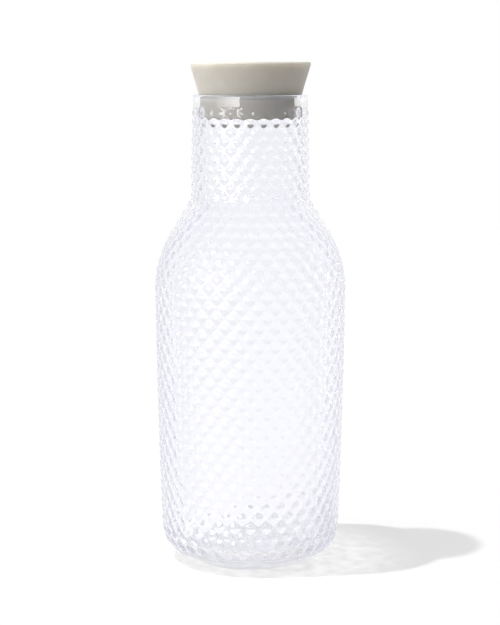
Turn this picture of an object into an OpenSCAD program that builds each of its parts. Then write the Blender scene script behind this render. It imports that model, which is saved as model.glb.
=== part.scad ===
// Beaded glass carafe with a flared, soft grey stopper.
// The frame has +Z up and its origin at the middle of the face that the carafe stands on.
// Every bead is part of the one glass wall. The stopper is an assembly of its own that lifts out.

/* [Carafe] */
// Height of the rim above the table
carafe_h = 249; // [235:1:270]
// Height of the plain collar below the rim
collar_h = 6.5; // [5:0.5:9]
// Step by which the collar stands proud of the neck
collar_step = 0.15; // [0:0.05:1]
// Rounding of the rim's inner edge, on which the stopper seats
rim_inner_round = 1.2; // [0.8:0.1:1.4]
// Rounding of the rim's outer edge
rim_outer_round = 0.8; // [0.4:0.1:1.2]
// Thickness of the glass wall between the beads
wall = 2.9; // [2.4:0.1:3.4]
// Thickness of the glass floor
floor_t = 7.5; // [6:0.5:10]

/* [Neck] */
// Diameter of the glass between the beads at the top of the neck
neck_d = 60; // [52:0.5:68]
// Growth of the neck's diameter from its top to its foot
neck_growth = 1.5; // [0.5:0.1:3]
// Length of the beaded neck, from the collar to the shoulder
neck_l = 46; // [40:0.5:50]

/* [Body] */
// Widest diameter of the glass between the beads
body_d = 100; // [96:0.5:106]
// Slope of the shoulder's straight part, from the vertical
shoulder_slope = 32; // [28:1:36]
// Radius of the hollow curve from the neck into the shoulder
neck_fillet_r = 10; // [6:0.5:12]
// Radius of the round curve from the shoulder into the wall
shoulder_r = 57; // [40:1:62]
// Inward lean of the wall where the shoulder ends, from the vertical
wall_lean = 0.6; // [0.2:0.1:1]
// Inward lean of the wall where the heel begins, from the vertical
wall_foot_lean = 2.2; // [1.4:0.1:3]
// Radius of the heel's upper, gentle curve
heel_r = 35; // [30:1:40]
// Slope at which the gentle curve turns into the tight corner
heel_slope = 24; // [20:1:28]
// Radius of the tight corner
corner_r = 3; // [2:0.5:5]
// Slope at which the corner runs on into the foot
foot_slope = 62; // [56:1:66]

/* [Foot] */
// Height of the plain, conical foot
foot_h = 6.8; // [6:0.1:7.5]
// Outer diameter of the ring that touches the table
foot_ring_d = 61; // [56:0.5:66]
// Width of the ring that touches the table
foot_ring_w = 5; // [3:0.5:8]
// Depth of the hollow inside the ring
foot_hollow_depth = 1.4; // [0.8:0.1:2]

/* [Beads] */
// Beads round the neck
neck_bead_count = 28; // [24:1:32]
// Rows of beads down the neck
neck_row_count = 10; // [8:1:12]
// Distance from the collar to the first row of beads
first_bead_gap = 2.7; // [2:0.1:4]
// Beads round the shoulder and the body
body_bead_count = 36; // [30:1:38]
// Rows of beads on the shoulder and the body
body_row_count = 37; // [30:1:38]
// Height of the plain glass between the last row of beads and the foot
plain_heel_h = 5.3; // [4:0.1:8]
// Height of a bead over the glass between the beads
bead_h = 1; // [0.6:0.1:1.2]

/* [Stopper cap] */
// Height of the flared cap above the rim
cap_rise = 17; // [12:0.5:24]
// Flare of the cap's side, from the vertical
cap_flare = 16.6; // [10:0.2:20]
// Rounding of the cap's top edge
cap_edge_round = 0.9; // [0.4:0.1:1.5]
// Depth to which the cap reaches below the rim
cap_sink = 0.5; // [0.2:0.1:0.8]
// Thickness of the cap's roof over the spigot
cap_roof = 5; // [4:0.5:6]

/* [Sealing ring] */
// Thickness of the sealing ring under the cap
seal_t = 1.6; // [1.2:0.1:2]
// Gap between the sealing ring and the rounded edge of the rim
seat_gap = 0.3; // [0.1:0.05:0.4]

/* [Plug] */
// Gap between the plug's side and the glass of the mouth
plug_gap = 0.7; // [0.5:0.1:1.5]
// Depth of the plug's lower face below the rim
plug_drop = 12.6; // [10:0.1:20]
// Rounding of the plug's lower edge
plug_round = 1.4; // [0.6:0.1:2]
// Thickness of the plug's wall and bottom
plug_wall = 2.4; // [1.8:0.1:3]
// Step in from the plug's side to the spigot that joins the plug to the cap
spigot_step = 7.4; // [5:0.1:9]
// Gap round the spigot in the cap and in the sealing ring
spigot_gap = 0.1; // [0.05:0.05:0.2]
// Height of the snap rib round the spigot
snap_h = 0.5; // [0.3:0.1:0.7]

/* [Hidden] */

// Overrun of the cuts that pass through a face
overrun = 1;
// Degrees of an outline's curve between two of its points
curve_angle = 3;
// Sides of a round outline
round_face_count = 96;
glass = [0.86, 0.87, 0.94, 0.45];
cap_grey = [0.69, 0.68, 0.66];
plug_grey = [0.62, 0.61, 0.59];
seal_grey = [0.8, 0.8, 0.79];

// The outer line of the glass between the beads, walked from the collar down to the foot.
// A slope is measured from the vertical, and is positive where the glass widens downwards.
// Each stretch is [length, slope at its start, slope at its end], and curves at a steady rate.
neck_foot_d = neck_d + neck_growth;
neck_slope = asin(neck_growth / 2 / neck_l);
skin_top = carafe_h - collar_h;
cone_out = (body_d - neck_foot_d) / 2 - neck_fillet_r * (cos(neck_slope) - cos(shoulder_slope))
    - shoulder_r * (1 - cos(shoulder_slope));
cone_l = cone_out / sin(shoulder_slope);
above_wall = neck_l * cos(neck_slope) + neck_fillet_r * (sin(shoulder_slope) - sin(neck_slope))
    + cone_l * cos(shoulder_slope) + shoulder_r * (sin(shoulder_slope) + sin(wall_lean));
below_wall = heel_r * (sin(heel_slope) - sin(wall_foot_lean))
    + corner_r * (sin(foot_slope) - sin(heel_slope));
wall_h = skin_top - above_wall - below_wall - foot_h;
wall_r = wall_h / (sin(wall_foot_lean) - sin(wall_lean));
skin_to_wall_foot = [
    [neck_l, neck_slope, neck_slope],
    arc_stretch(neck_fillet_r, neck_slope, shoulder_slope),
    [cone_l, shoulder_slope, shoulder_slope],
    arc_stretch(shoulder_r, shoulder_slope, -wall_lean),
    arc_stretch(wall_r, -wall_lean, -wall_foot_lean)
];
skin_of_heel = [
    arc_stretch(heel_r, -wall_foot_lean, -heel_slope),
    arc_stretch(corner_r, -heel_slope, -foot_slope)
];
skin = concat(skin_to_wall_foot, skin_of_heel);
skin_l = run_to(len(skin));
skin_foot = on_skin(skin_l, 0);

// Rows of beads, each [distance down the skin, number of beads round]. The body's rows are at
// even heights, so they lie further apart along the shoulder than along the wall.
neck_pitch = (neck_l - first_bead_gap) / (neck_row_count - 1);
neck_foot_z = on_skin(neck_l, 0)[1];
body_pitch = (neck_foot_z - foot_h - plain_heel_h) / body_row_count;
bead_rows = concat(
    [for (row = [0 : neck_row_count - 1]) [first_bead_gap + row * neck_pitch, neck_bead_count]],
    [for (row = [1 : body_row_count]) [run_at(neck_foot_z - row * body_pitch), body_bead_count]]
);

// The inside of the glass
mouth_r = neck_d / 2 - wall;
inside_wall_end = on_skin(run_to(len(skin_to_wall_foot)), -wall);
inside_corner_r = (inside_wall_end[1] - floor_t) / (1 - sin(wall_foot_lean));
inside_corner_x = inside_wall_end[0] - inside_corner_r * cos(wall_foot_lean);
foot_top_r = skin_foot[0] * cos(90 / body_bead_count);
foot_ring_r = foot_ring_d / 2;

// The stopper. Its flared side has the radius flare_r at the rim's height, which sets it off the
// rim's rounded inner edge by the seat gap.
flare_r = mouth_r + rim_inner_round * (1 + tan(cap_flare)) - (rim_inner_round + seat_gap) / cos(cap_flare);
cap_top = carafe_h + cap_rise;
cap_foot = carafe_h - cap_sink;
seal_foot = cap_foot - seal_t;
plug_foot = carafe_h - plug_drop;
plug_r = mouth_r - plug_gap;
spigot_r = plug_r - spigot_step;
socket_r = spigot_r + spigot_gap;
socket_top = cap_top - cap_roof;
spigot_top = socket_top - spigot_gap;
snap_z = (cap_foot + spigot_top) / 2;

// One stretch of the skin that turns from one slope to another at a radius
function arc_stretch(radius, from, to) = [radius * abs(to - from) * PI / 180, from, to];

// Distance down the skin at which a stretch begins
function run_to(count) = count == 0 ? 0 : run_to(count - 1) + skin[count - 1][0];

// Step [outward, down] along a stretch, from its start
function along(stretch, u) =
    stretch[1] == stretch[2]
        ? [u * sin(stretch[1]), u * cos(stretch[1])]
        : let (
            turn = (stretch[2] - stretch[1]) * PI / 180,
            bend = stretch[0] / turn,
            slope = slope_at(stretch, u)
        ) [bend * (cos(stretch[1]) - cos(slope)), bend * (sin(slope) - sin(stretch[1]))];

// Slope at a distance along a stretch
function slope_at(stretch, u) = stretch[1] + (stretch[2] - stretch[1]) * u / stretch[0];

// Place [radius, height] at which a stretch begins
function start_of(count) =
    count == 0
        ? [neck_d / 2, skin_top]
        : let (before = start_of(count - 1), step = along(skin[count - 1], skin[count - 1][0]))
            [before[0] + step[0], before[1] - step[1]];

// Number of the stretch that holds a distance down the skin
function stretch_of(s, count = 0) =
    count == len(skin) - 1 || s <= run_to(count + 1) ? count : stretch_of(s, count + 1);

// Point [radius, height] at a distance down the skin, and out from it by a height
function on_skin(s, out) =
    let (
        count = stretch_of(s),
        u = s - run_to(count),
        start = start_of(count),
        step = along(skin[count], u),
        slope = slope_at(skin[count], u)
    ) [start[0] + step[0] + out * cos(slope), start[1] - step[1] + out * sin(slope)];

// Distance down the skin at which it passes a height
function run_at(z, count = 0) =
    let (down = start_of(count)[1] - z, stretch = skin[count])
    count == len(skin) - 1 || down <= along(stretch, stretch[0])[1]
        ? run_to(count) + run_down(stretch, down)
        : run_at(z, count + 1);

// Distance along a stretch at which it has come down by a height
function run_down(stretch, down) =
    stretch[1] == stretch[2]
        ? down / cos(stretch[1])
        : let (
            turn = (stretch[2] - stretch[1]) * PI / 180,
            slope = asin(sin(stretch[1]) + down * turn / stretch[0])
        ) (slope - stretch[1]) * PI / 180 * stretch[0] / turn;

// Outline points of a curve about a middle, from one angle to another
function curve(middle, radius, from, to) =
    let (count = ceil(abs(to - from) / curve_angle))
    [for (k = [0 : count]) let (angle = from + (to - from) * k / count)
        middle + radius * [cos(angle), sin(angle)]];

// Points of the skin's own line at a height over it, from the collar to the foot of the wall
function skin_line(out) =
    [for (count = [0 : len(skin_to_wall_foot) - 1]) each
        let (
            turn = abs(skin[count][2] - skin[count][1]),
            steps = max(1, ceil(turn / curve_angle))
        )
        [for (k = [count == 0 ? 0 : 1 : steps])
            on_skin(run_to(count) + skin[count][0] * k / steps, out)]];

// One ring of the beaded skin. Tops and hollows take turns, and a bead's top is over a hollow of
// the next row. A plain ring has no bead.
function ring(s, beads, row, height) =
    [for (k = [0 : 2 * beads - 1])
        let (
            point = on_skin(s, (k + row) % 2 == 0 ? height : 0),
            angle = 180 * k / beads
        ) [point[0] * cos(angle), point[0] * sin(angle), point[1]]];

// Faces between two rings of the same count, parted so that each bead is a raised stud
function even_faces(a, b, count, row) =
    [for (k = [0 : count - 1]) each
        let (next = (k + 1) % count)
        (k + row) % 2 == 0
            ? [[a + k, a + next, b + k], [a + next, b + next, b + k]]
            : [[a + k, a + next, b + next], [a + k, b + next, b + k]]];

// Faces between two rings of different counts
function joining_faces(a, count_a, b, count_b) =
    concat(
        [for (k = [0 : count_a - 1])
            [a + k, a + (k + 1) % count_a, b + ceil((k + 0.5) * count_b / count_a - 0.5) % count_b]],
        [for (k = [0 : count_b - 1])
            [a + floor((k + 0.5) * count_a / count_b + 0.5) % count_a, b + (k + 1) % count_b, b + k]]
    );

// Beaded skin of the neck, the shoulder and the body, as one closed solid
module beaded_skin() {
    rows = concat(
        [[0, neck_bead_count, 0]],
        [for (row = bead_rows) [row[0], row[1], bead_h]],
        [[skin_l, body_bead_count, 0]]
    );
    starts = [for (row = 0, sum = 0; row < len(rows); sum = sum + 2 * rows[row][1], row = row + 1) sum];
    points = [for (row = [0 : len(rows) - 1]) each ring(rows[row][0], rows[row][1], row, rows[row][2])];
    sides = [for (row = [0 : len(rows) - 2]) each
        rows[row][1] == rows[row + 1][1]
            ? even_faces(starts[row], starts[row + 1], 2 * rows[row][1], row)
            : joining_faces(starts[row], 2 * rows[row][1], starts[row + 1], 2 * rows[row + 1][1])];
    top = [for (k = [2 * neck_bead_count - 1 : -1 : 0]) k];
    bottom = [for (k = [0 : 2 * body_bead_count - 1]) starts[len(rows) - 1] + k];
    polyhedron(points, concat([top], sides, [bottom]));
}

// Plain collar with the rounded rim
module collar() {
    r = neck_d / 2 + collar_step;
    rotate_extrude($fn = round_face_count)
        polygon(concat(
            [[0, skin_top], [r, skin_top]],
            curve([r - rim_outer_round, carafe_h - rim_outer_round], rim_outer_round, 0, 90),
            [[0, carafe_h]]
        ));
}

// Plain conical foot with its ring and the hollow inside the ring
module foot() {
    rotate_extrude($fn = round_face_count)
        polygon([
            [0, foot_h],
            [foot_top_r, foot_h],
            [foot_ring_r, 0],
            [foot_ring_r - foot_ring_w, 0],
            [foot_ring_r - foot_ring_w - foot_hollow_depth, foot_hollow_depth],
            [0, foot_hollow_depth]
        ]);
}

// Space inside the glass, with the rim's rounded inner edge
module inside() {
    edge_r = mouth_r + rim_inner_round;
    rotate_extrude($fn = round_face_count)
        polygon(concat(
            [[0, carafe_h + overrun], [edge_r, carafe_h + overrun]],
            curve([edge_r, carafe_h - rim_inner_round], rim_inner_round, 90, 180),
            skin_line(-wall),
            curve([inside_corner_x, floor_t + inside_corner_r], inside_corner_r, -wall_foot_lean, -90),
            [[0, floor_t]]
        ));
}

module carafe_body() {
    color(glass)
        difference() {
            union() {
                collar();
                beaded_skin();
                foot();
            }
            inside();
        }
}

// Radius of the stopper's flared side at a height
function flare_at(z) = flare_r + (z - carafe_h) * tan(cap_flare);

// Flared cap, with the socket for the plug's spigot and the groove for its snap rib
module stopper_cap() {
    edge_turn = 90 - cap_flare;
    edge_x = flare_at(cap_top) - cap_edge_round * (1 + sin(cap_flare)) / cos(cap_flare);
    color(cap_grey)
        rotate_extrude($fn = round_face_count)
            polygon(concat(
                [[0, socket_top], [socket_r, socket_top]],
                snap_profile(socket_r),
                [[socket_r, cap_foot], [flare_at(cap_foot), cap_foot]],
                curve([edge_x, cap_top - cap_edge_round], cap_edge_round, edge_turn - 90, 90),
                [[0, cap_top]]
            ));
}

// Corner points of the snap rib or of its groove, from the top down, on a wall of a given radius
function snap_profile(r) =
    [[r, snap_z + snap_h], [r + snap_h, snap_z], [r, snap_z - snap_h]];

// Soft ring that is held between cap and plug, and meets the rim
module sealing_ring() {
    color(seal_grey)
        rotate_extrude($fn = round_face_count)
            polygon([
                [socket_r, seal_foot],
                [flare_at(seal_foot), seal_foot],
                [flare_at(cap_foot), cap_foot],
                [socket_r, cap_foot]
            ]);
}

// Hollow plug, open at the top, with its spigot and snap rib
module stopper_plug() {
    bore_r = spigot_r - plug_wall;
    color(plug_grey)
        rotate_extrude($fn = round_face_count)
            polygon(concat(
                [[0, plug_foot]],
                curve([plug_r - plug_round, plug_foot + plug_round], plug_round, -90, 0),
                [[plug_r, seal_foot], [spigot_r, seal_foot]],
                reversed(snap_profile(spigot_r)),
                [
                    [spigot_r, spigot_top],
                    [bore_r, spigot_top],
                    [bore_r, plug_foot + plug_wall],
                    [0, plug_foot + plug_wall]
                ]
            ));
}

function reversed(list) = [for (k = [len(list) - 1 : -1 : 0]) list[k]];

carafe_body();
stopper_cap();
sealing_ring();
stopper_plug();
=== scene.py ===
"""A beaded glass carafe with a flared soft stopper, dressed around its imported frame.

Everything is in metres, with +Z up and the carafe standing on the floor at the origin.
"""
import logging
import math
from dataclasses import dataclass, field
from enum import Enum

import bmesh
import bpy
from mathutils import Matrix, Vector


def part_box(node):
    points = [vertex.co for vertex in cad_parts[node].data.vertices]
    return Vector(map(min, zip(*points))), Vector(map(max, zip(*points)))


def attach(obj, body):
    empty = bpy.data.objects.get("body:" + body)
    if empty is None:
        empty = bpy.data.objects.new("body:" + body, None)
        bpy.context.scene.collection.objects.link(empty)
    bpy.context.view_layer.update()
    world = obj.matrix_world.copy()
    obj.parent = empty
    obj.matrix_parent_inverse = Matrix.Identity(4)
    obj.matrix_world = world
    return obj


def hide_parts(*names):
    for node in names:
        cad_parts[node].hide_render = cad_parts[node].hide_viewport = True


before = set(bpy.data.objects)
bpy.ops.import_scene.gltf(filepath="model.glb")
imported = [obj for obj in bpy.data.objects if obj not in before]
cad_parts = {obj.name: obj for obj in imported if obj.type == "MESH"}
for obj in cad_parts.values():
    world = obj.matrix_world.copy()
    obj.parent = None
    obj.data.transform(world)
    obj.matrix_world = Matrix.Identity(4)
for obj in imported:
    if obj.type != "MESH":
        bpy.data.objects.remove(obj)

log = logging.getLogger("carafe")

FULL_TURN = 2 * math.pi
WELD = 1e-6  # vertices closer than this are one
NOISE_RANGE = (0.3, 0.7)  # where a noise texture's values mostly lie
OFF_SKIN = -1.0  # mark of a point that isn't on the glass's beaded skin, where marks are 0 or more


class Body(Enum):
    """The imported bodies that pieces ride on."""

    CARAFE = "carafe"
    STOPPER = "stopper"


class Slot(Enum):
    """The record's material slots."""

    GLASS = "clear_glass"
    CAP = "grey_silicone"
    SEAL = "seal_silicone"
    PLUG = "grey_plastic"


# Node helpers


@dataclass
class Nodes:
    """A material or world node tree that is being written.

    Args:
        tree: the node tree to fill.
    """

    tree: bpy.types.NodeTree

    def add(self, kind: str, **settings: object) -> bpy.types.Node:
        """Adds a node.

        Args:
            kind: the node's type name, without the ShaderNode in front.
            settings: properties to set on it.

        Returns:
            The new node.
        """
        node = self.tree.nodes.new("ShaderNode" + kind)
        for name, value in settings.items():
            setattr(node, name, value)
        return node

    def link(self, source: bpy.types.NodeSocket, target: bpy.types.NodeSocket) -> None:
        """Joins one node's output to another's input."""
        self.tree.links.new(source, target)

    def math(self, operation: str, *values: object) -> bpy.types.NodeSocket:
        """Adds a maths node.

        Args:
            operation: its operation, such as ADD.
            values: a number or a socket for each of its inputs.

        Returns:
            Its output.
        """
        node = self.add("Math", operation=operation)
        for socket, value in zip(node.inputs, values):
            if isinstance(value, bpy.types.NodeSocket):
                self.link(value, socket)
            else:
                socket.default_value = value
        return node.outputs[0]

    def axes(self, place: str) -> bpy.types.Node:
        """Adds a node that gives X, Y and Z of a kind of texture coordinates.

        Args:
            place: the kind, such as Object.

        Returns:
            The node.
        """
        node = self.add("SeparateXYZ")
        self.link(self.add("TexCoord").outputs[place], node.inputs["Vector"])
        return node

    def noise(self, scale: float, detail: float = 3.0) -> bpy.types.NodeSocket:
        """Adds noise on the object's own coordinates.

        Args:
            scale: cells in a metre.
            detail: octaves.

        Returns:
            The noise value, about 0.5 on average.
        """
        node = self.add("TexNoise")
        self.link(self.add("TexCoord").outputs["Object"], node.inputs["Vector"])
        node.inputs["Scale"].default_value = scale
        node.inputs["Detail"].default_value = detail
        return node.outputs["Fac"]

    def ramp(
        self, value: bpy.types.NodeSocket, ends: tuple, results: tuple, soft: bool,
    ) -> bpy.types.NodeSocket:
        """Maps a value from one range to another.

        Args:
            value: the socket to map.
            ends: the two ends of the value's range.
            results: the result at each end.
            soft: True for a way between them that starts and ends gently.

        Returns:
            The mapped value.
        """
        node = self.add("MapRange", interpolation_type="SMOOTHSTEP" if soft else "LINEAR")
        self.link(value, node.inputs["Value"])
        node.inputs["From Min"].default_value, node.inputs["From Max"].default_value = ends
        node.inputs["To Min"].default_value, node.inputs["To Max"].default_value = results
        return node.outputs["Result"]

    def span(self, noise: bpy.types.NodeSocket, low: float, high: float) -> bpy.types.NodeSocket:
        """Maps a noise value to a range from low to high."""
        return self.ramp(noise, NOISE_RANGE, (low, high), soft=False)

    def colours(self, factor: bpy.types.NodeSocket, first: tuple, second: tuple) -> bpy.types.NodeSocket:
        """Mixes two colours.

        Args:
            factor: the share of the second.
            first: linear red, green and blue.
            second: linear red, green and blue.

        Returns:
            The mixed colour.
        """
        node = self.add("Mix", data_type="RGBA")
        self.link(factor, node.inputs["Factor"])
        node.inputs["A"].default_value = (*first, 1.0)
        node.inputs["B"].default_value = (*second, 1.0)
        return node.outputs["Result"]

    def bump(
        self, height: bpy.types.NodeSocket, depth: float, before: bpy.types.NodeSocket | None = None,
    ) -> bpy.types.NodeSocket:
        """Turns a height into a bent normal.

        Args:
            height: the height, from 0 to 1.
            depth: the real depth of the relief, in metres.
            before: the normal that it adds to.

        Returns:
            The bent normal.
        """
        node = self.add("Bump")
        node.inputs["Strength"].default_value = 1.0
        node.inputs["Distance"].default_value = depth
        self.link(height, node.inputs["Height"])
        if before is not None:
            self.link(before, node.inputs["Normal"])
        return node.outputs["Normal"]

    def matte(self, white: float) -> bpy.types.NodeSocket:
        """Adds a matte shader.

        Args:
            white: its grey, from 0 for black to 1 for white.

        Returns:
            The shader.
        """
        node = self.add("BsdfDiffuse")
        node.inputs["Color"].default_value = (white, white, white, 1)
        return node.outputs["BSDF"]

    def joined(self, kind: str, *sources: bpy.types.NodeSocket) -> bpy.types.NodeSocket:
        """Adds a node that joins shaders.

        Args:
            kind: the node's type name, without the ShaderNode in front.
            sources: what goes into its inputs, from the first on.

        Returns:
            The joined shader.
        """
        node = self.add(kind)
        for source, target in zip(sources, node.inputs):
            self.link(source, target)
        return node.outputs["Shader"]


def linear(red: float, green: float, blue: float) -> tuple:
    """Turns a colour as seen on a screen into linear light, by the sRGB curve.

    Args:
        red: red, 0 to 255.
        green: green, 0 to 255.
        blue: blue, 0 to 255.

    Returns:
        Linear red, green and blue, 0 to 1.
    """
    return tuple(
        part / 12.92 if part <= 0.04045 else ((part + 0.055) / 1.055) ** 2.4
        for part in (red / 255, green / 255, blue / 255)
    )


def empty_material(name: str) -> tuple:
    """A new material with a Principled shader and its output.

    Args:
        name: the material's name.

    Returns:
        The material, its node writer, the shader node and the output node.
    """
    material = bpy.data.materials.new(name)
    material.use_nodes = True
    nodes = Nodes(material.node_tree)
    material.node_tree.nodes.clear()
    shader = nodes.add("BsdfPrincipled")
    output = nodes.add("OutputMaterial")
    nodes.link(shader.outputs["BSDF"], output.inputs["Surface"])
    return material, nodes, shader, output


@dataclass(frozen=True)
class GlassFinish:
    """Clear pressed glass: faintly lavender in its depth, with a slightly wavy fire-polished skin."""

    name: str = "clear_pressed_glass"
    index: float = 1.5
    tint: tuple = (0.97, 0.972, 0.996)
    depth_colour: tuple = (0.55, 0.55, 0.7)
    depth_density: float = 4.5
    polish_low: float = 0.0
    polish_high: float = 0.02
    wave_scale: float = 90.0
    wave_depth: float = 0.00004

    def build(self) -> bpy.types.Material:
        """Makes the material.

        Returns:
            The material.
        """
        material, nodes, shader, output = empty_material(self.name)
        shader.inputs["Base Color"].default_value = (*self.tint, 1)
        shader.inputs["Transmission Weight"].default_value = 1.0
        shader.inputs["IOR"].default_value = self.index
        polish = nodes.span(nodes.noise(self.wave_scale), self.polish_low, self.polish_high)
        nodes.link(polish, shader.inputs["Roughness"])
        wave = nodes.bump(nodes.noise(self.wave_scale, detail=1.0), self.wave_depth)
        nodes.link(wave, shader.inputs["Normal"])
        depth = nodes.add("VolumeAbsorption")
        depth.inputs["Color"].default_value = (*self.depth_colour, 1)
        depth.inputs["Density"].default_value = self.depth_density
        nodes.link(depth.outputs["Volume"], output.inputs["Volume"])
        return material


@dataclass(frozen=True)
class SoftFinish:
    """Matte silicone or plastic: a warm grey with a fine moulded grain and a little light inside it.

    The lip's three values are for the cap alone: how far from its upper edge light spreads over
    its side, and the heights between which that begins.
    """

    name: str
    colour: tuple
    worn_colour: tuple
    roughness_low: float = 0.5
    roughness_high: float = 0.62
    dull_scale: float = 480.0
    shine: float = 0.35
    glow: float = 0.0
    glow_depth: float = 0.002
    glow_spread: tuple = (1.0, 0.92, 0.84)
    grain_scale: float = 4200.0
    grain_depth: float = 0.00002
    ripple_scale: float = 160.0
    ripple_depth: float = 0.00003
    lip_r: float = 0.0
    lip_z: tuple = (0.252, 0.264)
    lip_samples: int = 8

    def lip(self, nodes: Nodes) -> bpy.types.NodeSocket:
        """Softens the light over the upper lip, which lets light through.

        Args:
            nodes: the material's node writer.

        Returns:
            The normal that the ripple starts from.
        """
        reach = nodes.ramp(nodes.axes("Object").outputs["Z"], self.lip_z, (0.0, self.lip_r), soft=True)
        edge = nodes.add("Bevel", samples=self.lip_samples)
        nodes.link(reach, edge.inputs["Radius"])
        return edge.outputs["Normal"]

    def build(self) -> bpy.types.Material:
        """Makes the material.

        Returns:
            The material.
        """
        material, nodes, shader, _ = empty_material(self.name)
        cloud = nodes.span(nodes.noise(self.ripple_scale, detail=4.0), 0.0, 1.0)
        nodes.link(nodes.colours(cloud, self.colour, self.worn_colour), shader.inputs["Base Color"])
        dull = nodes.span(nodes.noise(self.dull_scale, detail=2.0), self.roughness_low, self.roughness_high)
        nodes.link(dull, shader.inputs["Roughness"])
        lip = self.lip(nodes) if self.lip_r else None
        ripple = nodes.bump(nodes.noise(self.ripple_scale, detail=1.0), self.ripple_depth, lip)
        grain = nodes.bump(nodes.noise(self.grain_scale, detail=2.0), self.grain_depth, ripple)
        nodes.link(grain, shader.inputs["Normal"])
        shader.inputs["Subsurface Weight"].default_value = self.glow
        shader.inputs["Subsurface Scale"].default_value = self.glow_depth
        shader.inputs["Subsurface Radius"].default_value = self.glow_spread
        shader.inputs["Specular IOR Level"].default_value = self.shine
        return material


# Outlines and turned pieces


def arc(middle: tuple, radius: float, start: float, end: float, steps: int) -> list:
    """Points of an outline's round corner.

    Args:
        middle: the corner's middle, as radius and height.
        radius: the corner's own radius.
        start: the angle of its first point, in degrees.
        end: the angle of its last point, in degrees.
        steps: the number of straight pieces.

    Returns:
        Points, each radius and height.
    """
    turns = [math.radians(start + (end - start) * k / steps) for k in range(steps + 1)]
    return [(middle[0] + radius * math.cos(t), middle[1] + radius * math.sin(t)) for t in turns]


def turned(outline: list, steps: int, marks: list | None = None) -> bmesh.types.BMesh:
    """Spins an outline about the Z axis into a closed mesh.

    Args:
        outline: points, each radius and height, from a point on the axis to another.
        steps: sides of the turned shape.
        marks: a number for each point, kept on the vertices that it turns into.

    Returns:
        The mesh, whose vertex layer "mark" holds the marks, or 0 if none are given.
    """
    mesh = bmesh.new()
    layer = mesh.verts.layers.float.new("mark")
    line = [mesh.verts.new((radius, 0, height)) for radius, height in outline]
    for vertex, mark in zip(line, marks or []):
        vertex[layer] = mark
    edges = [mesh.edges.new(pair) for pair in zip(line, line[1:])]
    bmesh.ops.spin(
        mesh, geom=line + edges, cent=(0, 0, 0), axis=(0, 0, 1), dvec=(0, 0, 0),
        angle=FULL_TURN, steps=steps, use_merge=True, use_normal_flip=False, use_duplicate=False,
    )
    bmesh.ops.remove_doubles(mesh, verts=mesh.verts, dist=WELD)
    bmesh.ops.dissolve_degenerate(mesh, dist=WELD, edges=mesh.edges)
    bmesh.ops.recalc_face_normals(mesh, faces=mesh.faces)
    return mesh


def piece_from(
    mesh: bmesh.types.BMesh, name: str, material: bpy.types.Material, smooth_to: float,
) -> bpy.types.Object:
    """Puts a finished mesh in the scene.

    Args:
        mesh: the mesh, which is freed.
        name: the piece's name.
        material: its finish.
        smooth_to: edges that turn by more than this, in degrees, stay sharp.

    Returns:
        The new object, at the origin.
    """
    for face in mesh.faces:
        face.smooth = True
    for edge in mesh.edges:
        edge.smooth = edge.calc_face_angle(0.0) < math.radians(smooth_to)
    data = bpy.data.meshes.new(name)
    mesh.to_mesh(data)
    mesh.free()
    data.materials.append(material)
    piece = bpy.data.objects.new(name, data)
    bpy.context.scene.collection.objects.link(piece)
    return piece


def dress(piece: bpy.types.Object, node: str, body: Body) -> None:
    """Hands a finished piece to the frame.

    Args:
        piece: the piece.
        node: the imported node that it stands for.
        body: the body that it rides on.
    """
    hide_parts(node)
    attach(piece, body.value)
    log.info("%s stands for %s: %d faces", piece.name, node, len(piece.data.polygons))


# The carafe


@dataclass(frozen=True)
class Stretch:
    """A stretch of the glass's outer line that bends at a steady rate.

    Slopes are in radians from the vertical, and positive where the glass widens downwards.
    """

    length: float
    start: float
    end: float

    def slope(self, run: float) -> float:
        """Slope at a distance along the stretch."""
        return self.start + (self.end - self.start) * run / self.length

    def step(self, run: float) -> tuple:
        """Way outward and down from the stretch's start to a distance along it.

        Args:
            run: the distance.

        Returns:
            The way outward and the way down.
        """
        if self.start == self.end:
            return run * math.sin(self.start), run * math.cos(self.start)
        bend = self.length / (self.end - self.start)
        slope = self.slope(run)
        outward = bend * (math.cos(self.start) - math.cos(slope))
        return outward, bend * (math.sin(slope) - math.sin(self.start))

    def run_down(self, down: float) -> float:
        """Finds a place on the stretch by its height.

        Args:
            down: how far it lies below the stretch's start.

        Returns:
            Its distance along the stretch.
        """
        if self.start == self.end:
            return down / math.cos(self.start)
        bend = self.length / (self.end - self.start)
        return (math.asin(math.sin(self.start) + down / bend) - self.start) * bend


def bent(radius: float, start: float, end: float) -> Stretch:
    """A stretch that turns from one slope to another at a radius.

    Args:
        radius: its radius.
        start: its first slope.
        end: its last slope.

    Returns:
        The stretch.
    """
    return Stretch(radius * abs(end - start), start, end)


@dataclass(frozen=True)
class BeadRow:
    """One ring of beads.

    Args:
        run: distance down the skin from the collar.
        count: beads round.
        turned: True if it is half a bead on from the second row, which has a bead towards the camera.
        reach: distance from a bead's middle to its edge.
    """

    run: float
    count: int
    turned: bool
    reach: float


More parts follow.
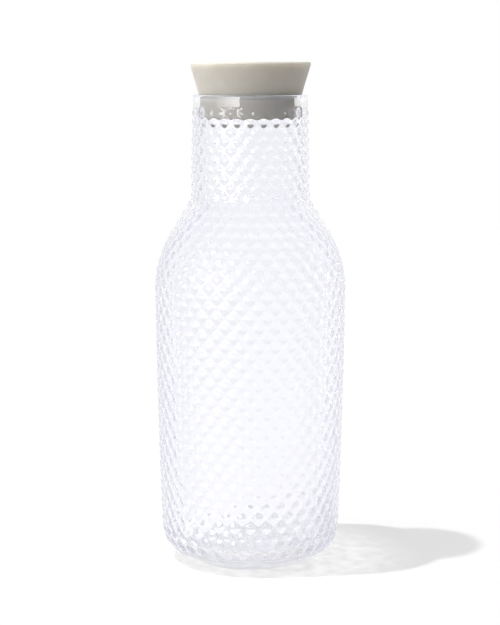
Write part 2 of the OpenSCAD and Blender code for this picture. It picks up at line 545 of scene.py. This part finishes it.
@dataclass
class CarafeGlass:
    """The glass vessel, as one closed solid with a beaded skin."""

    rim_z: float
    collar_h: float = 0.0065
    collar_step: float = 0.00015
    rim_inner_round: float = 0.0012
    rim_outer_round: float = 0.0008
    wall: float = 0.0029
    floor_t: float = 0.0075
    neck_r: float = 0.030
    neck_growth_r: float = 0.00075
    neck_l: float = 0.046
    body_r: float = 0.050
    shoulder_slope: float = math.radians(32)
    neck_fillet_r: float = 0.010
    shoulder_r: float = 0.057
    wall_lean: float = math.radians(0.6)
    wall_foot_lean: float = math.radians(2.2)
    heel_r: float = 0.035
    heel_slope: float = math.radians(24)
    corner_r: float = 0.003
    foot_slope: float = math.radians(62)
    foot_h: float = 0.0068
    foot_ring_r: float = 0.0305
    foot_ring_w: float = 0.005
    foot_hollow: float = 0.0014
    foot_dome: float = 0.7
    foot_round: float = 0.0005
    edge_hold: float = 0.0004
    neck_beads: int = 28
    neck_rows: int = 10
    first_row: float = 0.0027
    body_beads: int = 36
    body_rows: int = 37
    plain_heel_h: float = 0.0053
    bead_h: float = 0.001
    neck_bead_h: float = 0.0008
    bead_fullness: float = 1.2
    sides: int = 288
    lines_per_neck_row: int = 5
    lines_per_body_row: int = 6
    rim_steps: int = 5
    corner_steps: int = 12
    floor_steps: int = 3
    foot_steps: int = 3
    least_steps: int = 3
    bend_step: float = math.radians(4)
    crease: float = 60
    stretches: list = field(default_factory=list)
    rows: list = field(default_factory=list)

    def __post_init__(self) -> None:
        """Works out the outer line and the rows of beads from the sizes."""
        self.stretches = self.outer_line()
        self.rows = self.bead_rows()

    def outer_line(self) -> list:
        """Works out the outer line of the glass between the beads.

        Returns:
            Its stretches, from the collar down to the foot.
        """
        neck_slope = math.asin(self.neck_growth_r / self.neck_l)
        neck_foot_r = self.neck_r + self.neck_growth_r
        cone_out = (
            self.body_r - neck_foot_r
            - self.neck_fillet_r * (math.cos(neck_slope) - math.cos(self.shoulder_slope))
            - self.shoulder_r * (1 - math.cos(self.shoulder_slope))
        )
        cone_l = cone_out / math.sin(self.shoulder_slope)
        above_wall = (
            self.neck_l * math.cos(neck_slope)
            + self.neck_fillet_r * (math.sin(self.shoulder_slope) - math.sin(neck_slope))
            + cone_l * math.cos(self.shoulder_slope)
            + self.shoulder_r * (math.sin(self.shoulder_slope) + math.sin(self.wall_lean))
        )
        below_wall = (
            self.heel_r * (math.sin(self.heel_slope) - math.sin(self.wall_foot_lean))
            + self.corner_r * (math.sin(self.foot_slope) - math.sin(self.heel_slope))
        )
        wall_h = self.rim_z - self.collar_h - above_wall - below_wall - self.foot_h
        wall_r = wall_h / (math.sin(self.wall_foot_lean) - math.sin(self.wall_lean))
        return [
            Stretch(self.neck_l, neck_slope, neck_slope),
            bent(self.neck_fillet_r, neck_slope, self.shoulder_slope),
            Stretch(cone_l, self.shoulder_slope, self.shoulder_slope),
            bent(self.shoulder_r, self.shoulder_slope, -self.wall_lean),
            bent(wall_r, -self.wall_lean, -self.wall_foot_lean),
            bent(self.heel_r, -self.wall_foot_lean, -self.heel_slope),
            bent(self.corner_r, -self.heel_slope, -self.foot_slope),
        ]

    def length_to(self, count: int) -> float:
        """Length of the first stretches of the outer line."""
        return sum(stretch.length for stretch in self.stretches[:count])

    def on_skin(self, run: float, out: float = 0.0) -> tuple:
        """A point on or off the outer line.

        Args:
            run: distance down the line from the collar.
            out: distance out from the line.

        Returns:
            The point's radius and height, and the line's slope there.
        """
        radius, height = self.neck_r, self.rim_z - self.collar_h
        for stretch in self.stretches[:-1]:
            if run <= stretch.length:
                break
            outward, down = stretch.step(stretch.length)
            radius, height, run = radius + outward, height - down, run - stretch.length
        else:
            stretch = self.stretches[-1]
        outward, down = stretch.step(run)
        slope = stretch.slope(run)
        return (
            radius + outward + out * math.cos(slope),
            height - down + out * math.sin(slope),
            slope,
        )

    def run_at(self, height: float) -> float:
        """Finds where the outer line passes a height.

        Args:
            height: the height over the floor.

        Returns:
            The distance down the line.
        """
        run, start = 0.0, self.rim_z - self.collar_h
        for stretch in self.stretches:
            down = stretch.step(stretch.length)[1]
            if start - height <= down:
                return run + stretch.run_down(start - height)
            run, start = run + stretch.length, start - down
        return run

    def bead_rows(self) -> list:
        """Places the rows of beads, each half a bead on from the row above.

        They lie at even distances down the neck, and at even heights down the body.

        Returns:
            The rows, from the collar down.
        """
        neck_pitch = (self.neck_l - self.first_row) / (self.neck_rows - 1)
        neck_foot_z = self.on_skin(self.neck_l)[1]
        body_pitch = (neck_foot_z - self.foot_h - self.plain_heel_h) / self.body_rows
        runs = [(self.first_row + k * neck_pitch, self.neck_beads) for k in range(self.neck_rows)]
        runs += [
            (self.run_at(neck_foot_z - (k + 1) * body_pitch), self.body_beads) for k in range(self.body_rows)
        ]
        rows = []
        for number, (run, count) in enumerate(runs):
            half_gap = math.pi * self.on_skin(run)[0] / count
            pitch = run - runs[number - 1][0] if number else neck_pitch
            reach = math.hypot(half_gap, pitch) / 2
            rows.append(BeadRow(run, count, number % 2 == 0, reach))
        return rows

    def bead_height(self, near: list, run: float, angle: float, radius: float) -> float:
        """Height of the beaded skin over the outer line.

        Args:
            near: the rows of beads that reach this far down the line.
            run: distance down the line.
            angle: direction round the axis, in radians.
            radius: radius of the line there.

        Returns:
            The height of the bead there, or 0 between beads.
        """
        height = 0.0
        for row in near:
            gap = FULL_TURN / row.count
            offset = (angle - (gap / 2 if row.turned else 0.0)) % gap
            aside = min(offset, gap - offset) * radius
            share = ((run - row.run) ** 2 + aside**2) / row.reach**2
            if share < 1:
                top = self.neck_bead_h if row.count == self.neck_beads else self.bead_h
                height = max(height, top * (1 - share) ** self.bead_fullness)
        return height

    def skin_runs(self) -> list:
        """Places the mesh's rings so that one runs through the middle of each row of beads.

        Returns:
            Their distances down the outer line.
        """
        marks = [0.0] + [row.run for row in self.rows]
        counts = [self.lines_per_neck_row // 2]
        counts += [
            self.lines_per_neck_row if row.count == self.neck_beads else self.lines_per_body_row
            for row in self.rows[1:]
        ]
        marks.append(self.rows[-1].run + self.rows[-1].reach)
        counts.append(self.lines_per_body_row)
        marks.append(self.length_to(len(self.stretches)))
        counts.append(self.lines_per_body_row)
        runs = [0.0]
        for low, high, count in zip(marks, marks[1:], counts):
            runs += [low + (high - low) * (k + 1) / count for k in range(count)]
        return runs

    def inside_line(self) -> list:
        """Draws the inside, which follows the outer line down to the heel.

        Returns:
            Its points, from the mouth down to the middle of the floor.
        """
        soft = self.rim_inner_round
        mouth_r = self.neck_r - self.wall
        points = arc((mouth_r + soft, self.rim_z - soft), soft, 90, 180, self.rim_steps)
        run = 0.0
        for stretch in self.stretches[:-2]:
            steps = max(self.least_steps, math.ceil(abs(stretch.end - stretch.start) / self.bend_step))
            points += [
                self.on_skin(run + stretch.length * k / steps, -self.wall)[:2] for k in range(steps + 1)
            ]
            run += stretch.length
        end = points[-1]
        corner = (end[1] - self.floor_t) / (1 - math.sin(self.wall_foot_lean))
        middle = (end[0] - corner * math.cos(self.wall_foot_lean), self.floor_t + corner)
        points += arc(middle, corner, -math.degrees(self.wall_foot_lean), -90, self.corner_steps)[1:]
        steps = self.floor_steps
        points += [(middle[0] * (1 - k / steps), self.floor_t) for k in range(1, steps + 1)]
        return points

    def underside_line(self) -> list:
        """Draws the foot, with the hollow inside the ring that it stands on.

        Returns:
            Its points, from the axis out to where the beaded skin ends.
        """
        outer, inner = self.foot_ring_r, self.foot_ring_r - self.foot_ring_w
        hollow, soft, steps = self.foot_hollow, self.foot_round, self.foot_steps
        top_r, top_z, _ = self.on_skin(self.length_to(len(self.stretches)))
        out = Vector((top_r - outer, top_z)).normalized()
        points = [(0.0, hollow), (inner / 2, hollow), (inner - 2 * hollow, hollow)]
        points += [(inner - hollow, hollow * self.foot_dome), (inner, 0.0), (inner + soft, 0.0)]
        points += [(outer - soft, 0.0), (outer + out.x * soft, out.y * soft)]
        points += [(outer + (top_r - outer) * k / steps, top_z * k / steps) for k in range(1, steps)]
        return points

    def collar_line(self) -> list:
        """Draws the plain collar, with two rings that keep its smooth shading flat between its edges.

        Returns:
            Its points, from its foot up to the top of the rim.
        """
        radius, soft = self.neck_r + self.collar_step, self.rim_outer_round
        low = self.rim_z - self.collar_h + 2 * self.collar_step
        high = self.rim_z - soft
        points = [(radius, z) for z in (low, low + self.edge_hold, high - self.edge_hold)]
        return points + arc((radius - soft, self.rim_z - soft), soft, 0, 90, self.rim_steps)

    def build(self, finish: GlassFinish) -> bpy.types.Object:
        """Models and dresses the glass.

        Args:
            finish: its finish.

        Returns:
            The piece.
        """
        outline = self.underside_line()
        marks = [OFF_SKIN] * len(outline)
        runs = self.skin_runs()
        outline += [self.on_skin(run)[:2] for run in reversed(runs)]
        marks += list(reversed(runs))
        rim = self.collar_line() + self.inside_line()
        outline += rim
        marks += [OFF_SKIN] * len(rim)
        mesh = turned(outline, self.sides, marks)
        self.raise_beads(mesh)
        piece = piece_from(mesh, "beaded_glass", finish.build(), self.crease)
        dress(piece, "carafe_body", Body.CARAFE)
        return piece

    def raise_beads(self, mesh: bmesh.types.BMesh) -> None:
        """Lifts the skin's vertices into beads.

        Args:
            mesh: the turned glass, whose skin vertices hold their distance down the line as a mark.
        """
        layer = mesh.verts.layers.float["mark"]
        rings = {}
        for vertex in mesh.verts:
            run = vertex[layer]
            if run < 0:
                continue
            if run not in rings:
                rings[run] = self.on_skin(run), [row for row in self.rows if abs(run - row.run) < row.reach]
            (radius, _, slope), near = rings[run]
            angle = math.atan2(vertex.co.y, vertex.co.x)
            height = self.bead_height(near, run, angle, radius)
            if height > 0:
                out = height * math.cos(slope)
                vertex.co += Vector((out * math.cos(angle), out * math.sin(angle), height * math.sin(slope)))
        mesh.normal_update()


# The stopper


@dataclass
class Stopper:
    """The flared cap, the ring that seals it and the plug that hangs in the neck."""

    rim_z: float
    cap_top: float
    plug_foot: float
    mouth_r: float = 0.0271
    rim_inner_round: float = 0.0012
    cap_flare: float = math.radians(16.6)
    cap_edge_round: float = 0.0009
    cap_sink: float = 0.0005
    cap_roof: float = 0.005
    seal_t: float = 0.0016
    seat_gap: float = 0.0003
    plug_gap: float = 0.0007
    plug_round: float = 0.0014
    plug_wall: float = 0.0024
    spigot_step: float = 0.0074
    spigot_gap: float = 0.0001
    soft_edge: float = 0.0003
    sides: int = 144
    round_steps: int = 8
    soft_steps: int = 3
    side_rings: int = 8
    top_rings: int = 5
    crease: float = 40
    seal_crease: float = 50

    def flare_at(self, height: float) -> float:
        """Works out the flared side, which keeps off the rim's rounded edge.

        Args:
            height: a height over the floor.

        Returns:
            The side's radius there.
        """
        lean = math.tan(self.cap_flare)
        at_rim = (
            self.mouth_r + self.rim_inner_round * (1 + lean)
            - (self.rim_inner_round + self.seat_gap) / math.cos(self.cap_flare)
        )
        return at_rim + (height - self.rim_z) * lean

    @property
    def plug_r(self) -> float:
        """Radius of the plug."""
        return self.mouth_r - self.plug_gap

    @property
    def spigot_r(self) -> float:
        """Radius of the spigot that joins the plug to the cap."""
        return self.plug_r - self.spigot_step

    @property
    def cap_foot(self) -> float:
        """Height of the cap's lower face."""
        return self.rim_z - self.cap_sink

    @property
    def seal_foot(self) -> float:
        """Height of the seal's lower face."""
        return self.cap_foot - self.seal_t

    def build_cap(self, finish: SoftFinish) -> bpy.types.Object:
        """Models and dresses the flared cap, with its socket for the spigot.

        Args:
            finish: its finish.

        Returns:
            The piece.
        """
        socket_r = self.spigot_r + self.spigot_gap
        socket_top = self.cap_top - self.cap_roof
        flare = self.cap_flare
        edge = self.cap_edge_round
        edge_x = self.flare_at(self.cap_top) - edge * (1 + math.sin(flare)) / math.cos(flare)
        side_h = self.cap_top - edge - self.cap_foot
        levels = [self.cap_foot + side_h * k / self.side_rings for k in range(1, self.side_rings)]
        outline = [(0.0, socket_top), (socket_r / 2, socket_top), (socket_r, socket_top)]
        outline += [(socket_r, self.cap_foot), (self.flare_at(self.cap_foot), self.cap_foot)]
        outline += [(self.flare_at(z), z) for z in levels]
        outline += arc((edge_x, self.cap_top - edge), edge, -math.degrees(flare), 90, self.round_steps)
        outline += [(edge_x * (1 - k / self.top_rings), self.cap_top) for k in range(1, self.top_rings + 1)]
        mesh = turned(outline, self.sides)
        piece = piece_from(mesh, "flared_cap", finish.build(), self.crease)
        dress(piece, "stopper_cap", Body.STOPPER)
        return piece

    def build_seal(self, finish: SoftFinish) -> bpy.types.Object:
        """Models and dresses the sealing ring.

        Args:
            finish: its finish.

        Returns:
            The piece.
        """
        inner = self.spigot_r + self.spigot_gap
        foot, top = self.seal_foot, self.cap_foot
        outline = [(inner, foot), (self.flare_at(foot), foot)]
        outline += [(self.flare_at(top), top), (inner, top), (inner, foot)]
        mesh = turned(outline, self.sides)
        corners = [edge for edge in mesh.edges if edge.calc_face_angle(0.0) > math.radians(self.crease)]
        bmesh.ops.bevel(
            mesh, geom=corners, offset=self.soft_edge, offset_type="OFFSET", segments=self.soft_steps,
            profile=0.5, affect="EDGES", material=-1,
        )
        piece = piece_from(mesh, "soft_seal", finish.build(), self.seal_crease)
        dress(piece, "sealing_ring", Body.STOPPER)
        return piece

    def build_plug(self, finish: SoftFinish) -> bpy.types.Object:
        """Models and dresses the hollow plug and its spigot.

        Args:
            finish: its finish.

        Returns:
            The piece.
        """
        spigot_top = self.cap_top - self.cap_roof - self.spigot_gap
        bore_r = self.spigot_r - self.plug_wall
        floor = self.plug_foot + self.plug_wall
        edge, soft = self.plug_round, self.soft_edge
        outline = [(0.0, self.plug_foot), (self.plug_r / 2, self.plug_foot)]
        outline += arc((self.plug_r - edge, self.plug_foot + edge), edge, -90, 0, self.round_steps)
        outline += arc((self.plug_r - soft, self.seal_foot - soft), soft, 0, 90, self.soft_steps)
        outline += [(self.spigot_r, self.seal_foot)]
        outline += arc((self.spigot_r - soft, spigot_top - soft), soft, 0, 90, self.soft_steps)
        outline += [(bore_r, spigot_top), (bore_r, floor), (0.0, floor)]
        mesh = turned(outline, self.sides)
        piece = piece_from(mesh, "hollow_plug", finish.build(), self.crease)
        dress(piece, "stopper_plug", Body.STOPPER)
        return piece


# The studio


@dataclass(frozen=True)
class Sky:
    """Brightness of the tent round the carafe, as a light or as glass and gloss show it.

    Args:
        back: brightness behind the carafe.
        front: brightness in front of it.
        swing: rise of the front's brightness towards the left, and its fall towards the right.
        top: what the top adds, or takes away if it is negative.
        turn: how far behind the carafe's middle, as a share, the front gives way to the back.
    """

    back: float
    front: float
    swing: float
    top: float
    turn: tuple = (-0.35, 0.25)

    def strength(self, nodes: Nodes, axes: bpy.types.Node) -> bpy.types.NodeSocket:
        """Writes the brightness into the world's nodes.

        Args:
            nodes: the world's node writer.
            axes: a node that gives the direction's X, Y and Z.

        Returns:
            The brightness in a direction.
        """
        behind = nodes.ramp(axes.outputs["Y"], self.turn, (0.0, 1.0), soft=True)
        across = nodes.math("MULTIPLY_ADD", axes.outputs["X"], -self.swing, self.front)
        front = nodes.math("MAXIMUM", across, 0.0)
        rise = nodes.math("SUBTRACT", self.back, front)
        level = nodes.math("MULTIPLY_ADD", rise, behind, front)
        height = nodes.math("MAXIMUM", axes.outputs["Z"], 0.0)
        return nodes.math("MAXIMUM", nodes.math("MULTIPLY_ADD", height, self.top, level), 0.0)


@dataclass(frozen=True)
class Panel:
    """An upright lit panel that faces the carafe.

    It lights gloss alone: matte surfaces and rays that have gone into glass don't see it.

    Args:
        name: the lamp's name.
        azimuth: its direction from the carafe, as Studio.direction takes it.
        height: height of its middle.
        size: its width and height.
        radiance: its brightness.
        distance: its distance from the carafe.
        dim: the share of its brightness that is left at its dim edge.
    """

    name: str
    azimuth: float
    height: float
    size: tuple
    radiance: float
    distance: float = 1.1
    dim: float = 1.0


@dataclass
class Studio:
    """Camera, white sweep, lamps and sky round the carafe."""

    frame_long_px: float = 625.0
    focal_px: float = 1740.0
    sensor: float = 36.0
    camera_y: float = -0.922
    camera_x: float = -0.00016
    camera_z: float = 0.2644
    pitch: float = math.radians(8.1)
    clip: tuple = (0.05, 50.0)
    floor_size: float = 4.0
    floor_cells: int = 4
    floor_white: float = 0.38
    floor_glow: float = 0.538
    floor_lit: float = 0.36
    # painted caustic light round the foot: its strength, middle, reach, streak grain and streak range
    painted_caustic_glow: float = 0.19
    painted_caustic_middle: tuple = (0.012, 0.0, 0.0)
    painted_caustic_reach: tuple = (0.035, 0.085)
    painted_caustic_grain: float = 150.0
    painted_caustic_streaks: tuple = (0.5, 1.5)
    key_strength: float = 2.28
    key_azimuth: float = math.radians(-77)
    key_elevation: float = math.radians(69.5)
    key_width: float = math.radians(1.5)
    key_distance: float = 2.0
    softbox: Panel = Panel("softbox", math.radians(-47), 0.2, (1.06, 0.5), 12.5, dim=0.02)
    strip: Panel = Panel("strip", math.radians(107.5), 0.24, (0.37, 0.08), 6.5)
    lighting_sky: Sky = Sky(back=1.3, front=1.0, swing=1.7, top=-0.75)
    seen_sky: Sky = Sky(back=0.92, front=0.76, swing=0.06, top=0.3, turn=(-0.2, 0.6))
    bounces: int = 64

    def place_camera(self) -> None:
        """Puts the camera where the photograph was taken from."""
        data = bpy.data.cameras.new("camera")
        data.sensor_width = self.sensor
        data.lens = self.focal_px / self.frame_long_px * self.sensor
        data.clip_start, data.clip_end = self.clip
        camera = bpy.data.objects.new("camera", data)
        camera.location = (self.camera_x, self.camera_y, self.camera_z)
        camera.rotation_euler = (math.pi / 2 - self.pitch, 0, 0)
        bpy.context.scene.collection.objects.link(camera)
        bpy.context.scene.camera = camera

    def direction(self, azimuth: float, elevation: float) -> Vector:
        """Finds a direction from the carafe.

        Args:
            azimuth: turn about +Z, 0 towards the camera and positive to the camera's right.
            elevation: rise over the floor.

        Returns:
            The direction, of length 1.
        """
        return Vector((
            math.sin(azimuth) * math.cos(elevation),
            -math.cos(azimuth) * math.cos(elevation),
            math.sin(elevation),
        ))

    def hang_key(self) -> None:
        """Hangs the key lamp, which draws the shadow."""
        key = bpy.data.lights.new("key", "SUN")
        key.energy = self.key_strength
        key.angle = self.key_width
        place = self.direction(self.key_azimuth, self.key_elevation) * self.key_distance
        self.aim(key, place, Vector((0, 0, 0)))

    def hang_panel(self, panel: Panel) -> None:
        """Hangs a panel.

        Args:
            panel: the panel.
        """
        light = bpy.data.lights.new(panel.name, "AREA")
        light.shape = "RECTANGLE"
        light.size, light.size_y = panel.size
        light.energy = panel.radiance * math.pi * light.size * light.size_y
        place = self.direction(panel.azimuth, 0) * panel.distance
        place.z = panel.height
        lamp = self.aim(light, place, Vector((0, 0, panel.height)))
        lamp.visible_diffuse = False
        lamp.visible_transmission = False
        if panel.dim < 1:
            light.use_nodes = True
            nodes = Nodes(light.node_tree)
            across = nodes.add("SeparateXYZ")
            nodes.link(nodes.add("NewGeometry").outputs["Parametric"], across.inputs["Vector"])
            fade = nodes.math("MULTIPLY_ADD", across.outputs["X"], 1.0 - panel.dim, panel.dim)
            nodes.link(fade, light.node_tree.nodes["Emission"].inputs["Strength"])

    def aim(self, light: bpy.types.Light, place: Vector, target: Vector) -> bpy.types.Object:
        """Adds a lamp at a place, turned to a target.

        Args:
            light: the lamp's light.
            place: where it hangs.
            target: where it shines.

        Returns:
            The lamp.
        """
        lamp = bpy.data.objects.new(light.name, light)
        lamp.location = place
        lamp.rotation_euler = (target - place).to_track_quat("-Z", "Y").to_euler()
        bpy.context.scene.collection.objects.link(lamp)
        return lamp

    def seen_ray(self, nodes: Nodes) -> bpy.types.NodeSocket:
        """Tells the rays that the camera sees by from those that light matte surfaces.

        Args:
            nodes: the node writer.

        Returns:
            1 for a ray from the camera, or one that gloss or glass sends on, else 0.
        """
        path = nodes.add("LightPath")
        sent_on = nodes.math("MAXIMUM", path.outputs["Is Glossy Ray"], path.outputs["Is Transmission Ray"])
        no_matte = nodes.math("LESS_THAN", path.outputs["Diffuse Depth"], 0.5)  # the depth is 0, 1, 2 ...
        return nodes.math("MAXIMUM", path.outputs["Is Camera Ray"], nodes.math("MULTIPLY", sent_on, no_matte))

    def paper(self) -> bpy.types.Material:
        """Makes the floor's finish: matte, with a glow that the camera sees and that lights nothing.

        The glow is stronger round the carafe's foot: a painted pool of the light that the glass casts, broken
        into painted streaks.

        Returns:
            The material.
        """
        material = bpy.data.materials.new("white_sweep")
        material.use_nodes = True
        material.node_tree.nodes.clear()
        nodes = Nodes(material.node_tree)
        # painted caustic light: a brighter glow near the foot, streaked by noise, added to the floor's even
        # glow
        away = nodes.add("VectorMath", operation="DISTANCE")
        nodes.link(nodes.add("TexCoord").outputs["Object"], away.inputs[0])
        away.inputs[1].default_value = self.painted_caustic_middle
        cast = nodes.ramp(away.outputs["Value"], self.painted_caustic_reach, (self.painted_caustic_glow, 0.0), soft=True)
        streaks = nodes.span(nodes.noise(self.painted_caustic_grain), *self.painted_caustic_streaks)
        glow = nodes.add("Emission")
        nodes.link(nodes.math("MULTIPLY_ADD", cast, streaks, self.floor_glow), glow.inputs["Strength"])
        seen = nodes.joined("AddShader", nodes.matte(self.floor_lit), glow.outputs["Emission"])
        mix = nodes.joined("MixShader", self.seen_ray(nodes), nodes.matte(self.floor_white), seen)
        nodes.link(mix, nodes.add("OutputMaterial").inputs["Surface"])
        return material

    def lay_floor(self) -> None:
        """Lays the white floor, which takes the carafe's shadow."""
        mesh = bmesh.new()
        bmesh.ops.create_grid(
            mesh, x_segments=self.floor_cells, y_segments=self.floor_cells, size=self.floor_size / 2,
        )
        data = bpy.data.meshes.new("floor")
        mesh.to_mesh(data)
        mesh.free()
        data.materials.append(self.paper())
        floor = bpy.data.objects.new("floor", data)
        bpy.context.scene.collection.objects.link(floor)

    def light_sky(self) -> None:
        """Lights the tent: white to the camera, with one sky for glass and gloss and one as a light."""
        world = bpy.data.worlds.new("white_tent")
        bpy.context.scene.world = world
        world.use_nodes = True
        world.node_tree.nodes.clear()
        nodes = Nodes(world.node_tree)
        axes = nodes.axes("Generated")
        direct = nodes.add("LightPath").outputs["Is Camera Ray"]
        seen = self.seen_ray(nodes)
        sent_on = nodes.math("SUBTRACT", seen, direct)
        mirrored = nodes.math("MULTIPLY", sent_on, self.seen_sky.strength(nodes, axes))
        plain = nodes.math("SUBTRACT", 1.0, seen)
        light = nodes.math("MULTIPLY_ADD", plain, self.lighting_sky.strength(nodes, axes), mirrored)
        backdrop = nodes.add("Background")
        backdrop.inputs["Color"].default_value = (1, 1, 1, 1)
        nodes.link(nodes.math("ADD", direct, light), backdrop.inputs["Strength"])
        nodes.link(backdrop.outputs["Background"], nodes.add("OutputWorld").inputs["Surface"])

    def set_view(self) -> None:
        """Sets plain colours and enough bounces for two walls of glass."""
        scene = bpy.context.scene
        scene.view_settings.view_transform = "Standard"
        scene.cycles.max_bounces = self.bounces
        scene.cycles.transmission_bounces = self.bounces
        scene.cycles.glossy_bounces = self.bounces

    def build(self) -> None:
        """Builds the whole studio."""
        self.place_camera()
        self.hang_key()
        self.hang_panel(self.softbox)
        self.hang_panel(self.strip)
        self.lay_floor()
        self.light_sky()
        self.set_view()
        log.info("studio ready")


CAP_FINISH = SoftFinish(
    "cap_silicone", linear(212, 207, 197), linear(207, 202, 192), glow=1.0, glow_depth=0.007, lip_r=0.005,
)
SEAL_FINISH = SoftFinish("seal_silicone", linear(214, 213, 211), linear(208, 207, 205), glow=0.3)
PLUG_FINISH = SoftFinish("plug_plastic", linear(201, 196, 187), linear(197, 192, 183), glow=0.15)


def main() -> None:
    """Builds the carafe, its stopper and the studio."""
    logging.basicConfig(level=logging.INFO, format="%(name)s: %(message)s")
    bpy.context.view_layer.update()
    Studio().build()
    rim_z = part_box("carafe_body")[1].z
    CarafeGlass(rim_z).build(GlassFinish())
    stopper = Stopper(rim_z, cap_top=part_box("stopper_cap")[1].z, plug_foot=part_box("stopper_plug")[0].z)
    stopper.build_cap(CAP_FINISH)
    stopper.build_seal(SEAL_FINISH)
    stopper.build_plug(PLUG_FINISH)


if __name__ == "__main__":
    main()
